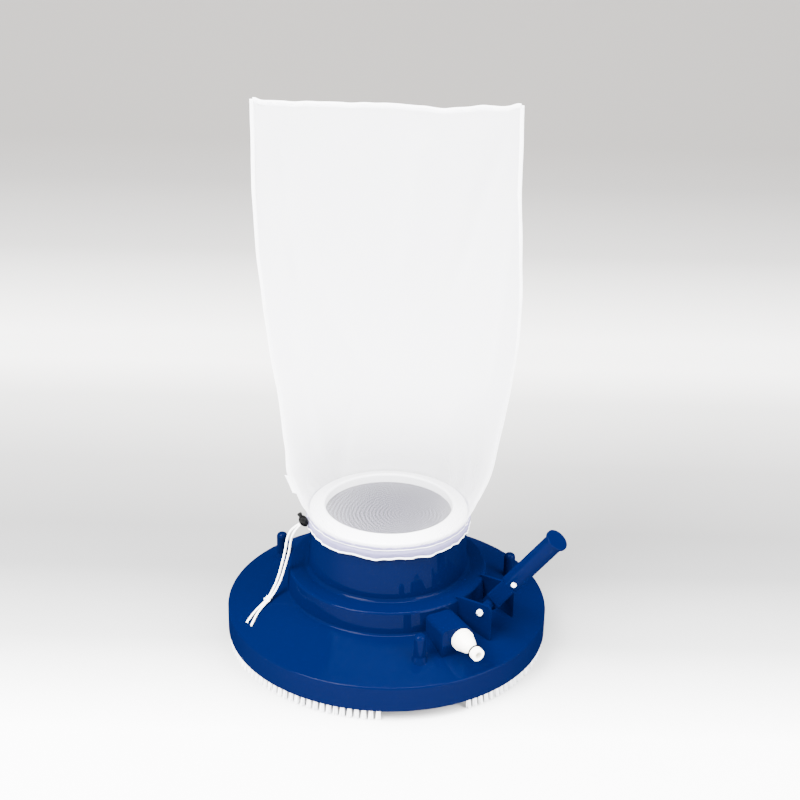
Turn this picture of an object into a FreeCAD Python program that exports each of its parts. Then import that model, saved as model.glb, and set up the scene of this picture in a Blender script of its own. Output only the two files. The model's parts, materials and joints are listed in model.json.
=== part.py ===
import FreeCAD, Part

import math
import os
import re

import Sketcher

# A garden-hose leaf vacuum for pools: a round moulded head that stands on a brush ring and three
# casters, a throat with a mesh bag, a hose inlet that feeds a ring of jets, and a folding handle.
# Millimetres. +Z is up, the origin is on the floor under the middle of the throat, and the handle
# folds in the XZ plane, on the +X side.

SIZES = (
    # head moulding
    ("disc_radius", 190.0),
    ("skirt_lift", 13.5),
    ("skirt_top", 43.0),
    ("shoulder_radius", 119.0),
    ("shoulder_draft", 2.0),
    ("shoulder_foot", 66.0),
    ("shoulder_top", 94.0),
    ("neck_foot_radius", 94.0),
    ("neck_top_radius", 91.0),
    ("neck_top", 163.0),
    ("shell_wall", 3.0),
    ("rim_fillet", 2.5),
    ("shoulder_fillet", 3.0),
    ("neck_fillet", 5.0),
    # caster posts
    ("post_reach", 153.0),
    ("post_angle", 45.0),
    ("post_radius", 6.7),
    ("post_top", 87.0),
    ("post_dome", 5.0),
    ("post_flare", 3.6),
    ("caster_boss_radius", 9.0),
    ("caster_boss_foot", 46.5),
    ("caster_boss_flange", 4.5),
    ("stem_radius", 4.0),
    ("stem_top", 76.0),
    ("turning_clearance", 0.06),
    # casters
    ("wheel_radius", 15.0),
    ("wheel_width", 11.0),
    ("wheel_trail", 9.0),
    ("fork_cheek", 2.4),
    ("fork_gap", 0.8),
    ("fork_crown", 3.0),
    ("axle_radius", 2.0),
    # handle bracket
    ("bracket_gap", 55.2),
    ("ear_thickness", 3.5),
    ("ear_reach", 155.0),
    ("ear_top", 97.0),
    ("ear_corner", 6.0),
    ("pivot_reach", 142.0),
    ("pivot_height", 87.0),
    ("bolt_radius", 3.0),
    ("bolt_head_radius", 3.7),
    ("bolt_head_height", 2.2),
    ("nut_radius", 5.2),
    ("nut_height", 4.0),
    # handle
    ("handle_tilt", 53.7),
    ("handle_length", 126.0),
    ("handle_radius", 11.0),
    ("handle_bore", 8.4),
    ("block_start", 8.0),
    ("block_end", 38.0),
    ("block_rise", 9.0),
    ("block_drop", 10.0),
    ("block_band", 3.0),
    ("block_round", 2.5),
    ("eye_radius", 9.0),
    ("eye_width", 14.0),
    ("side_clearance", 0.3),
    ("cap_rim_radius", 13.3),
    ("cap_rim", 3.0),
    ("cap_plug", 14.0),
    # spring clip in the handle
    ("button_reach", 46.0),
    ("button_drop", 3.5),
    ("button_radius", 2.8),
    ("button_clearance", 0.9),
    ("button_stand", 1.6),
    ("clip_reach", 74.0),
    ("clip_block", 8.0),
    ("clip_leaf", 1.2),
    ("clip_leaf_width", 7.0),
    # hose inlet
    ("hose_angle", -31.0),
    ("hose_offset", 12.0),
    ("hose_height", 72.0),
    ("inlet_reach", 156.0),
    ("inlet_radius", 15.5),
    ("inlet_side", -12.5),
    ("inlet_corner", 6.0),
    ("thread_radius", 10.4),
    ("thread_depth", 14.0),
    ("channel_radius", 5.0),
    ("seal_thickness", 2.0),
    ("hose_bore_radius", 3.9),
    ("bell_radius", 12.8),
    ("bell_length", 21.0),
    ("hose_neck_radius", 6.3),
    ("nose_radius", 7.4),
    ("nose_start", 30.5),
    ("nose_end", 37.5),
    ("o_ring_radius", 1.1),
    # jet ring
    ("jet_ring_radius", 100.0),
    ("jet_tube_radius", 6.0),
    ("jet_tube_bore", 4.0),
    ("jet_count", 8.0),
    ("jet_tilt", 35.0),
    ("jet_outer", 2.5),
    ("jet_bore", 1.2),
    ("jet_tip", 16.0),
    ("lug_reach", 109.3),
    ("lug_radius", 5.0),
    ("lug_thickness", 4.0),
    ("screw_radius", 1.5),
    ("screw_head_radius", 2.8),
    ("screw_head_height", 2.0),
    ("screw_length", 14.0),
    # throat
    ("collar_radius", 92.5),
    ("collar_edge", 168.0),
    ("collar_top", 173.4),
    ("throat_radius", 74.2),
    ("spigot_clearance", 0.1),
    ("spigot_wall", 2.9),
    ("spigot_foot", 152.0),
    ("screen_seat", 162.0),
    ("screen_thickness", 0.8),
    ("screen_radius", 80.0),
    ("clamp_thickness", 2.5),
    # brushes
    ("brush_gap", 30.0),
    ("strip_depth", 6.2),
    ("strip_height", 10.0),
    ("strip_foot", 15.0),
    ("tuft_depth", 4.5),
    ("tuft_splay", 2.4),
    ("strip_screw_length", 8.0),
    # bag
    ("bag_turn", 30.5),
    ("bag_foot", 150.0),
    ("bag_top", 640.0),
    ("bag_flat_width", 292.0),
    ("bag_wall", 1.0),
    ("bag_clearance", 0.8),
    ("top_seam", 3.0),
    ("string_radius", 1.25),
    ("string_height", 157.0),
    ("label_length", 26.0),
    ("label_width", 12.0),
    ("label_thickness", 0.6),
    ("label_foot", 180.0),
    # cord lock
    ("lock_reach", 101.5),
    ("lock_angle", 227.5),
    ("lock_height", 160.5),
    ("lock_radius", 4.4),
    ("lock_length", 14.0),
    ("plunger_radius", 2.4),
    ("plunger_clearance", 0.08),
    ("plunger_travel", 3.0),
    ("knob_radius", 2.9),
    ("knob_height", 1.8),
    ("cord_radius", 1.25),
    ("knot_radius", 3.6),
)

doc = FreeCAD.newDocument("LeafVacuum")
sheet = doc.addObject("Spreadsheet::Sheet", "Sizes")
ALIASES = {name for name, _ in SIZES}
for row, (name, amount) in enumerate(SIZES, start=1):
    sheet.set("A%d" % row, name)
    sheet.set("B%d" % row, str(amount))
    sheet.setAlias("B%d" % row, name)
doc.recompute()

UP = FreeCAD.Vector(0, 0, 1)
LEFTWARD = FreeCAD.Vector(0, 1, 0)
RIGHTWARD = FreeCAD.Vector(0, -1, 0)
THROUGH = 1.0  # how far a cutting tool runs past the face that it opens
parts = []


# ---------------------------------------------------------------- helpers
def cells(formula):
    """Turn plain size names in a formula into references to the sheet's cells."""
    return re.sub(r"[a-z][a-z0-9_]*", lambda word: "Sizes." * (word[0] in ALIASES) + word[0], formula)


def value(formula):
    """The number that a formula of size names comes to."""
    return float(sheet.evalExpression(cells(formula)))


def bind(item, **formulas):
    """Tie properties of an object to formulas of size names."""
    for name, formula in formulas.items():
        item.setExpression(name, cells(formula))
    return item


def place(item, x="0", y="0", z="0", axis=UP, turn="0"):
    """Put an object at x, y, z, turned about an axis, all tied to the sheet."""
    item.Placement = FreeCAD.Placement(FreeCAD.Vector(), FreeCAD.Rotation(axis, 1))
    for name, formula in (("Base.x", x), ("Base.y", y), ("Base.z", z), ("Rotation.Angle", turn)):
        item.setExpression("Placement." + name, cells(formula))
    return item


def on_inlet(item, start):
    """Put an object made along +X on the hose's axis, from a distance along it."""
    along = "(%s) * %s(hose_angle * 1 deg)"
    aside = "hose_offset * %s(hose_angle * 1 deg)"
    x = along % (start, "cos") + " - " + aside % "sin"
    y = along % (start, "sin") + " + " + aside % "cos"
    return place(item, x, y, "hose_height", turn="hose_angle")


def on_handle(item):
    """Put an object made about the pivot, pointing along +X, where the handle stands."""
    return place(item, "pivot_reach", "0", "pivot_height", RIGHTWARD, "handle_tilt")


def cylinder(name, radius, length, **where):
    """An upright cylinder, or one laid over by its placement."""
    item = doc.addObject("Part::Cylinder", name)
    return place(bind(item, Radius=radius, Height=length), **where)


def box(name, length, width, height, **where):
    item = doc.addObject("Part::Box", name)
    return place(bind(item, Length=length, Width=width, Height=height), **where)


def cone(name, foot_radius, top_radius, height, **where):
    item = doc.addObject("Part::Cone", name)
    return place(bind(item, Radius1=foot_radius, Radius2=top_radius, Height=height), **where)


def torus(name, radius, tube, **where):
    item = doc.addObject("Part::Torus", name)
    return place(bind(item, Radius1=radius, Radius2=tube), **where)


def joined(name, *items):
    item = doc.addObject("Part::MultiFuse", name)
    item.Shapes = list(items)
    return item


def group(name, *items):
    """Identical pieces kept as separate solids."""
    item = doc.addObject("Part::Compound", name)
    item.Links = list(items)
    return item


def less(name, base, *tools):
    """A base with tools cut from it. Each tool has to take something away."""
    for number, tool in enumerate(tools, start=1):
        item = doc.addObject("Part::Cut", "%s_cut_%d" % (name, number))
        item.Base = base
        item.Tool = tool
        doc.recompute()
        if item.Shape.Volume > base.Shape.Volume - 0.01:
            raise ValueError("%s takes nothing from %s" % (tool.Name, name))
        base = item
    return base


def rounded(name, base, radius, chosen):
    """Round the edges of a base that a test picks out."""
    doc.recompute()
    item = doc.addObject("Part::Fillet", name)
    item.Base = base
    amount = value(radius)
    picked = [number for number, edge in enumerate(base.Shape.Edges, start=1) if chosen(edge)]
    if not picked:
        raise ValueError("no edge to round on " + name)
    item.Edges = [(number, amount, amount) for number in picked]
    return item


def origin_plane(body, role):
    return next(feature for feature in body.Origin.OriginFeatures if feature.Role == role)


def outline(body, name, plane, corners):
    """A closed sketch of straight sides, with each corner held at its two formulas."""
    sketch = body.newObject("Sketcher::SketchObject", name)
    sketch.AttachmentSupport = [(origin_plane(body, plane), "")]
    sketch.MapMode = "FlatFace"
    spots = [FreeCAD.Vector(value(across), value(along), 0) for across, along in corners]
    count = len(spots)
    for index in range(count):
        sketch.addGeometry(Part.LineSegment(spots[index], spots[(index + 1) % count]), False)
    for index in range(count):
        sketch.addConstraint(Sketcher.Constraint("Coincident", index, 2, (index + 1) % count, 1))
    for index, corner in enumerate(corners):
        for kind, formula in zip(("DistanceX", "DistanceY"), corner):
            held = Sketcher.Constraint(kind, -1, 1, index, 1, value(formula))
            number = sketch.addConstraint(held)
            sketch.setExpression("Constraints[%d]" % number, cells(formula))
    return sketch


def turned(name, corners, roundings=()):
    """A body turned about its Z axis from corners (radius, height).

    Each rounding is (radius of the fillet, radius of the circle, height of the circle)."""
    body = doc.addObject("PartDesign::Body", name)
    sketch = outline(body, name + "_outline", "XZ_Plane", corners)
    feature = body.newObject("PartDesign::Revolution", name + "_turned")
    feature.Profile = sketch
    feature.ReferenceAxis = (sketch, ["V_Axis"])
    feature.Angle = 360
    doc.recompute()
    for number, (fillet, ring, height) in enumerate(roundings, start=1):
        edges = circles_at(feature.Shape, value(ring), value(height))
        rounding = body.newObject("PartDesign::Fillet", "%s_rounding_%d" % (name, number))
        rounding.Base = (feature, edges)
        bind(rounding, Radius=fillet)
        doc.recompute()
        feature = rounding
    return body


def circles_at(shape, ring, height):
    """Names of the full circular edges of one radius at one height."""
    names = []
    for number, edge in enumerate(shape.Edges, start=1):
        curve = edge.Curve
        if curve.TypeId != "Part::GeomCircle":
            continue
        if abs(curve.Radius - ring) < 1e-4 and abs(curve.Center.z - height) < 1e-4:
            names.append("Edge%d" % number)
    if not names:
        raise ValueError("no circle of radius %g at height %g" % (ring, height))
    return names


def shaped(name, shape, placement=None):
    """A part whose form is worked out in code from the sheet's sizes."""
    item = doc.addObject("Part::Feature", name)
    item.Shape = shape
    if placement is not None:
        item.Placement = placement
    return item


def keep(item, node):
    """Name a finished sub-part. The name is its node's and its file's."""
    item.Label = node
    parts.append((node, item))
    return item


def polar(reach, angle):
    """Formulas for x and y at a reach and an angle."""
    return {"x": "%s * cos(%s * 1 deg)" % (reach, angle), "y": "%s * sin(%s * 1 deg)" % (reach, angle)}


def across(name, radius, length, x="0", y="0", z="0"):
    """A cylinder along Y, from y towards +Y."""
    return cylinder(name, radius, length, x=x, y=y, z=z, axis=FreeCAD.Vector(-1, 0, 0), turn="90")


def lengthwise(name, radius, length, x="0", y="0", z="0"):
    """A cylinder along X, from x towards +X."""
    return cylinder(name, radius, length, x=x, y=y, z=z, axis=LEFTWARD, turn="90")


POSTS = (("right", "-post_angle"), ("left", "post_angle"), ("rear", "180"))
LUG_ANGLES = ("30", "150", "270")
BRUSHES = (
    ("front", "-post_angle + brush_gap / 2", "post_angle - brush_gap / 2"),
    ("left", "post_angle + brush_gap / 2", "180 - brush_gap / 2"),
    ("right", "180 + brush_gap / 2", "360 - post_angle - brush_gap / 2"),
)


# ---------------------------------------------------------------- head shell
def head_shell():
    """The blue moulding: skirt, disc, shoulder, neck, caster posts, bracket ears and hose inlet."""
    solid = turned(
        "head_form",
        (
            ("0", "skirt_lift"),
            ("disc_radius", "skirt_lift"),
            ("disc_radius", "skirt_top"),
            ("shoulder_radius", "shoulder_foot"),
            ("shoulder_radius - shoulder_draft", "shoulder_top"),
            ("neck_foot_radius", "shoulder_top"),
            ("neck_top_radius", "neck_top"),
            ("0", "neck_top"),
        ),
        (
            ("rim_fillet", "disc_radius", "skirt_top"),
            ("shoulder_fillet", "shoulder_radius", "shoulder_foot"),
            ("shoulder_fillet", "shoulder_radius - shoulder_draft", "shoulder_top"),
            ("neck_fillet", "neck_foot_radius", "shoulder_top"),
        ),
    )
    hollow = turned(
        "head_hollow",
        (
            ("0", "-1"),
            ("disc_radius - shell_wall", "-1"),
            ("disc_radius - shell_wall", "skirt_top - shell_wall"),
            ("shoulder_radius - shell_wall", "shoulder_foot - shell_wall"),
            ("shoulder_radius - shoulder_draft - shell_wall", "shoulder_top - shell_wall"),
            ("neck_foot_radius - shell_wall", "shoulder_top - shell_wall"),
            ("neck_top_radius - shell_wall", "neck_top + 1"),
            ("0", "neck_top + 1"),
        ),
    )
    outside = [solid, inlet_housing()]
    for side in ("right", "left"):
        outside.append(bracket_ear(side))
    for name, angle in POSTS:
        outside.append(caster_post(name, angle))
    shell = less("head_walls", joined("head_outside", *outside), hollow)
    inside = [shell]
    for name, angle in POSTS:
        inside.append(
            cylinder(
                "caster_boss_" + name,
                "caster_boss_radius",
                "caster_boss_flange",
                z="caster_boss_foot",
                **polar("post_reach", angle)
            )
        )
        inside.append(
            cylinder(
                "caster_core_" + name,
                "post_radius - 0.2",
                "stem_top - 10 - caster_boss_foot",
                z="caster_boss_foot",
                **polar("post_reach", angle)
            )
        )
    for number, angle in enumerate(LUG_ANGLES, start=1):
        inside.append(
            cylinder(
                "ring_boss_%d" % number,
                "lug_radius - 0.5",
                "shoulder_top - shell_wall / 2 - hose_height - lug_thickness",
                z="hose_height + lug_thickness",
                **polar("lug_reach", angle)
            )
        )
    openings = [inlet_openings()]
    for name, angle in POSTS:
        openings.append(
            cylinder(
                "caster_socket_" + name,
                "stem_radius + turning_clearance",
                "stem_top + 1 - caster_boss_foot + 1",
                z="caster_boss_foot - 1",
                **polar("post_reach", angle)
            )
        )
    openings.append(
        across(
            "bolt_opening",
            "bolt_radius",
            "bracket_gap + 4 * ear_thickness",
            x="pivot_reach",
            y="-bracket_gap / 2 - 2 * ear_thickness",
            z="pivot_height",
        )
    )
    openings.append(ring_screw_set("ring_screw_opening", heads=False))
    openings.append(strip_screw_set("strip_screw_opening", heads=False))
    keep(less("head_shell", joined("head_inside", *inside), *openings), "head_shell")


def bracket_ear(side):
    """One upright plate of the handle bracket, with its outer top corner rounded."""
    y = {"right": "-bracket_gap / 2 - ear_thickness", "left": "bracket_gap / 2"}[side]
    inner = "shoulder_radius - 9"
    plate = box(
        "ear_plate_" + side,
        "ear_reach - (%s)" % inner,
        "ear_thickness",
        "ear_top - skirt_top",
        x=inner,
        y=y,
        z="skirt_top",
    )

    def outer_top(edge):
        middle = edge.CenterOfMass
        straight = abs(middle.x - value("ear_reach")) < 1e-6 and abs(middle.z - value("ear_top")) < 1e-6
        return straight and abs(edge.Length - value("ear_thickness")) < 1e-6

    return rounded("ear_" + side, plate, "ear_corner", outer_top)


def caster_post(name, angle):
    """A domed post on the disc, over the socket of a caster's stem."""
    spot = polar("post_reach", angle)
    shaft = cylinder("post_shaft_" + name, "post_radius", "post_top - skirt_top", z="skirt_top", **spot)
    top = value("post_top")
    domed = rounded(
        "post_dome_" + name,
        shaft,
        "post_dome",
        lambda edge: edge.Curve.TypeId == "Part::GeomCircle" and abs(edge.Curve.Center.z - top) < 1e-6,
    )
    flare = cone(
        "post_flare_" + name,
        "post_radius + post_flare",
        "post_radius",
        "3 * post_flare",
        z="skirt_top + 6",
        **spot
    )
    return joined("post_" + name, domed, flare)


def inlet_housing():
    """The housing of the hose inlet: a flat-sided box with a round barrel, on the disc."""
    start = "shoulder_radius - 14"
    length = "inlet_reach - (%s)" % start
    barrel = lengthwise("inlet_barrel", "inlet_radius", length, start, "hose_offset", "hose_height")
    base = box(
        "inlet_base",
        length,
        "2 * inlet_radius",
        "hose_height - skirt_top",
        x=start,
        y="hose_offset - inlet_radius",
        z="skirt_top",
    )
    side = box(
        "inlet_side_box",
        length,
        "hose_offset - inlet_side",
        "hose_height + inlet_radius - skirt_top",
        x=start,
        y="inlet_side",
        z="skirt_top",
    )

    def outer_corner(edge):
        middle = edge.CenterOfMass
        along_side = abs(middle.y - value("inlet_side")) < 1e-6
        return along_side and abs(middle.z - value("hose_height + inlet_radius")) < 1e-6

    soft_side = rounded("inlet_side_rounded", side, "inlet_corner", outer_corner)
    return place(joined("inlet_housing", barrel, base, soft_side), turn="hose_angle")


def inlet_openings():
    """The threaded socket of the inlet and the channel that leads in from it."""
    socket = lengthwise(
        "inlet_socket",
        "thread_radius",
        "thread_depth + seal_thickness + 1",
        "inlet_reach - thread_depth - seal_thickness",
        "hose_offset",
        "hose_height",
    )
    channel = lengthwise(
        "inlet_channel",
        "channel_radius",
        "inlet_reach - thread_depth - jet_ring_radius",
        "jet_ring_radius",
        "hose_offset",
        "hose_height",
    )
    return place(joined("inlet_openings", socket, channel), turn="hose_angle")


# ---------------------------------------------------------------- hose connector
def hose_connector():
    """A click-on hose connector: threaded spigot, bell, neck, O-ring groove and nose, bored through."""
    bore = value("hose_bore_radius")
    thread = value("thread_radius")
    bell = value("bell_radius")
    bell_end = value("bell_length")
    neck = value("hose_neck_radius")
    nose = value("nose_radius")
    nose_start = value("nose_start")
    nose_end = value("nose_end")
    groove = value("2 * o_ring_radius")
    lip = 0.8

    def spot(along, radius):
        return FreeCAD.Vector(along, 0, radius)

    def side(*ends):
        return [Part.LineSegment(spot(*a), spot(*b)).toShape() for a, b in zip(ends, ends[1:])]

    start = spot(5, bell - 1.2)
    belly = Part.Arc(start, spot(bell_end * 0.58, bell * 0.81), spot(bell_end - 3, neck + 2.0)).toShape()
    throat = Part.Arc(
        spot(bell_end - 3, neck + 2.0), spot(bell_end - 1.4, neck + 0.7), spot(bell_end + 1.5, neck)
    ).toShape()
    edges = side((-value("thread_depth"), bore), (-value("thread_depth"), thread), (0, thread), (0, bell))
    edges += side((0, bell), (5, bell), (5, bell - 1.2))
    edges += [belly, throat]
    edges += side(
        (bell_end + 1.5, neck),
        (nose_start - groove - lip, neck),
        (nose_start - groove - lip, nose - 0.3),
        (nose_start - groove, nose - 0.3),
        (nose_start - groove, neck),
        (nose_start, neck),
        (nose_start, nose),
        (nose_end - lip, nose),
        (nose_end, nose - lip),
        (nose_end, bore),
        (-value("thread_depth"), bore),
    )
    face = Part.Face(Part.Wire(Part.__sortEdges__(edges)))
    solid = face.revolve(FreeCAD.Vector(), FreeCAD.Vector(1, 0, 0), 360)
    keep(on_inlet(shaped("hose_connector_form", solid), "inlet_reach"), "hose_connector")
    ring = torus(
        "o_ring_form",
        "hose_neck_radius + o_ring_radius",
        "o_ring_radius",
        axis=LEFTWARD,
        turn="90",
        x="nose_start - o_ring_radius",
    )
    keep(on_inlet(group("connector_o_ring_form", ring), "inlet_reach"), "connector_o_ring")
    washer = less(
        "connector_seal",
        cylinder("seal_disc", "thread_radius", "seal_thickness", axis=LEFTWARD, turn="90"),
        cylinder("seal_opening", "channel_radius", "seal_thickness", axis=LEFTWARD, turn="90"),
    )
    seat = group("connector_seal_form", washer)
    keep(on_inlet(seat, "inlet_reach - thread_depth - seal_thickness"), "connector_seal")


# ---------------------------------------------------------------- jet ring
def jet_ring():
    """The hollow ring under the shoulder that the hose feeds, its lugs and its inlet pipe."""
    tube = torus("jet_tube", "jet_ring_radius", "jet_tube_radius", z="hose_height")
    lugs = [
        cylinder(
            "ring_lug_%d" % number, "lug_radius", "lug_thickness", z="hose_height", **polar("lug_reach", angle)
        )
        for number, angle in enumerate(LUG_ANGLES, start=1)
    ]
    bore = torus("jet_tube_hollow", "jet_ring_radius", "jet_tube_bore", z="hose_height")
    port = place(
        group(
            "jet_port_group",
            lengthwise(
                "jet_port",
                "channel_radius - spigot_clearance",
                "3 * jet_tube_radius",
                "jet_ring_radius - 1",
                "hose_offset",
                "hose_height",
            ),
        ),
        turn="hose_angle",
    )
    ring = less(
        "jet_ring",
        joined("jet_ring_form", tube, *lugs),
        bore,
        port,
        jet_set("jet_seat", "jet_outer", "0", "jet_tube_bore - 0.5", "2 * jet_tube_radius"),
        ring_screw_set("ring_screw_path", heads=False),
    )
    keep(ring, "jet_ring")
    keep(
        jet_set("jet_nozzle", "jet_outer", "jet_bore", "jet_tube_bore", "jet_tip"),
        "jet_nozzles",
    )
    pipe_length = "shoulder_radius - 1 - (jet_ring_radius - 1)"
    pipe = less(
        "inlet_pipe",
        lengthwise("inlet_pipe_outside", "channel_radius - spigot_clearance", pipe_length),
        lengthwise("inlet_pipe_bore", "channel_radius - 1.6", pipe_length),
    )
    keep(on_inlet(group("inlet_pipe_form", pipe), "jet_ring_radius - 1"), "inlet_pipe")
    keep(ring_screw_set("ring_screw", heads=True), "ring_screws")


def jet_set(name, radius, bore, start, end):
    """Short tubes round the ring, leaning in over the throat, as separate solids."""
    count = int(value("jet_count"))
    lean = math.radians(value("jet_tilt"))
    middle = FreeCAD.Vector(value("jet_ring_radius"), 0, value("hose_height"))
    along = FreeCAD.Vector(-math.sin(lean), 0, math.cos(lean))
    first = middle + along * value(start)
    length = value(end) - value(start)
    tube = Part.makeCylinder(value(radius), length, first, along)
    if value(bore) > 0:
        tube = tube.cut(Part.makeCylinder(value(bore), length, first, along))
    copies = []
    for number in range(count):
        copy = tube.copy()
        copy.rotate(FreeCAD.Vector(), UP, 360.0 * number / count)
        copies.append(copy)
    return shaped(name + "_set", Part.makeCompound(copies))


def ring_screw_set(name, heads):
    """The screws that hold the ring's lugs up against the shell's bosses."""
    copies = []
    for number, angle in enumerate(LUG_ANGLES, start=1):
        spot = polar("lug_reach", angle)
        piece = cylinder("%s_shank_%d" % (name, number), "screw_radius", "screw_length", z="hose_height", **spot)
        if heads:
            head = cylinder(
                "%s_head_%d" % (name, number),
                "screw_head_radius",
                "screw_head_height",
                z="hose_height - screw_head_height",
                **spot
            )
            piece = joined("%s_%d" % (name, number), piece, head)
        copies.append(piece)
    return group(name + "_set", *copies)


# ---------------------------------------------------------------- throat
def throat():
    """The white collar pressed on the neck, the mesh screen under it and the screen's clamp ring."""
    spigot = "neck_top_radius - shell_wall - spigot_clearance"
    collar = turned(
        "collar_form",
        (
            ("throat_radius", "screen_seat"),
            ("throat_radius", "collar_top"),
            ("collar_radius", "collar_edge"),
            ("collar_radius", "neck_top"),
            (spigot, "neck_top"),
            (spigot, "spigot_foot"),
            (spigot + " - spigot_wall", "spigot_foot"),
            (spigot + " - spigot_wall", "screen_seat"),
        ),
        (
            ("2.5", "collar_radius", "collar_edge"),
            ("2.5", "throat_radius", "collar_top"),
        ),
    )
    keep(collar, "throat_collar")
    keep(
        cylinder("screen_form", "screen_radius", "screen_thickness", z="screen_seat - screen_thickness"),
        "throat_screen",
    )
    under = "screen_seat - screen_thickness"
    clamp = turned(
        "clamp_form",
        (
            ("throat_radius + 1.3", under + " - clamp_thickness"),
            (spigot + " - spigot_wall - spigot_clearance", under + " - clamp_thickness"),
            (spigot + " - spigot_wall - spigot_clearance", under),
            ("throat_radius + 1.3", under),
        ),
    )
    keep(clamp, "screen_clamp_ring")


# ---------------------------------------------------------------- brushes
def sector(corners, start, end):
    """A solid swept round the Z axis between two angles from corners (radius, height)."""
    spots = [FreeCAD.Vector(radius, 0, height) for radius, height in corners]
    face = Part.Face(Part.makePolygon(spots + spots[:1]))
    face.rotate(FreeCAD.Vector(), UP, start)
    return face.revolve(FreeCAD.Vector(), UP, end - start)


def brushes():
    """Three curved strips screwed inside the skirt, each with a band of bristles under it."""
    outer = value("disc_radius - shell_wall")
    inner = outer - value("strip_depth")
    foot = value("strip_foot")
    top = foot + value("strip_height")
    splay = value("tuft_splay")
    deep = value("tuft_depth")
    outer_tuft = outer - 0.6
    paths = ring_of_strip_screws(heads=True)
    for name, start, end in BRUSHES:
        first = value(start)
        last = value(end)
        strip = sector(((inner, foot), (outer, foot), (outer, top), (inner, top)), first, last).cut(paths)
        keep(shaped("brush_strip_form_" + name, strip), "brush_strip_" + name)
        band = (
            (outer_tuft - deep, foot),
            (outer_tuft - deep + splay, 0),
            (outer_tuft + splay, 0),
            (outer_tuft, foot),
        )
        keep(shaped("bristles_form_" + name, sector(band, first, last)), "bristles_" + name)
    keep(strip_screw_set("strip_screw", heads=True), "strip_screws")


def ring_of_strip_screws(heads):
    """Three screws a strip, driven outward from inside the skirt."""
    inner = value("disc_radius - shell_wall - strip_depth")
    height = value("strip_foot + strip_height / 2")
    screws = []
    for _, start, end in BRUSHES:
        first = value(start)
        span = value(end) - first
        for share in (0.12, 0.5, 0.88):
            angle = math.radians(first + share * span)
            outward = FreeCAD.Vector(math.cos(angle), math.sin(angle), 0)
            seat = outward * inner + UP * height
            screw = Part.makeCylinder(value("screw_radius"), value("strip_screw_length"), seat, outward)
            if heads:
                head = value("screw_head_height")
                radius = value("screw_head_radius")
                screw = screw.fuse(Part.makeCylinder(radius, head, seat - outward * head, outward))
            screws.append(screw)
    return Part.makeCompound(screws)


def strip_screw_set(name, heads):
    return shaped(name + "_set", ring_of_strip_screws(heads))


# ---------------------------------------------------------------- casters
def casters():
    """Three swivel casters: a fork with its stem and axle, and a wheel that trails behind it."""
    half = value("wheel_width / 2 + fork_gap")
    cheek = value("fork_cheek")
    radius = value("wheel_radius")
    trail = value("wheel_trail")
    crown_top = value("caster_boss_foot - side_clearance")
    crown_foot = crown_top - value("fork_crown")
    axle = value("axle_radius")

    def at(x, y, z):
        return FreeCAD.Vector(x, y, z)

    stem_length = value("stem_top") - crown_foot
    stem = Part.makeCylinder(value("stem_radius"), stem_length, at(0, 0, crown_foot), UP)
    crown = Part.makeCylinder(half + cheek + 0.6, crown_top - crown_foot, at(0, 0, crown_foot), UP)
    fork = stem.fuse(crown)
    for side in (-1, 1):
        near = side * half if side > 0 else -half - cheek
        leg = Part.makePolygon(
            [
                at(-4.5, near, crown_foot + 1),
                at(4.5, near, crown_foot + 1),
                at(-trail + 4.0, near, radius - 4.0),
                at(-trail - 4.0, near, radius - 4.0),
                at(-4.5, near, crown_foot + 1),
            ]
        )
        fork = fork.fuse(Part.Face(leg).extrude(at(0, cheek, 0)))
    pin_length = 2 * (half + cheek)
    pin_start = at(-trail, -half - cheek, radius)
    fork = fork.cut(Part.makeCylinder(axle, pin_length, pin_start, LEFTWARD))
    pin = Part.makeCylinder(axle, pin_length, pin_start, LEFTWARD)
    wheel = Part.makeCylinder(
        radius, value("wheel_width"), at(-trail, -value("wheel_width") / 2, radius), LEFTWARD
    )
    wheel = wheel.makeFillet(1.5, [edge for edge in wheel.Edges if edge.Curve.TypeId == "Part::GeomCircle"])
    wheel = wheel.cut(Part.makeCylinder(axle + value("turning_clearance"), pin_length, pin_start, LEFTWARD))
    for name, angle in POSTS:
        spot = polar("post_reach", angle)
        there = FreeCAD.Placement(at(value(spot["x"]), value(spot["y"]), 0), FreeCAD.Rotation())
        keep(shaped("caster_fork_form_" + name, fork, there), "caster_fork_" + name)
        keep(shaped("caster_axle_form_" + name, pin, there), "caster_axle_" + name)
        keep(shaped("caster_wheel_form_" + name, wheel, there), "caster_wheel_" + name)


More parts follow.
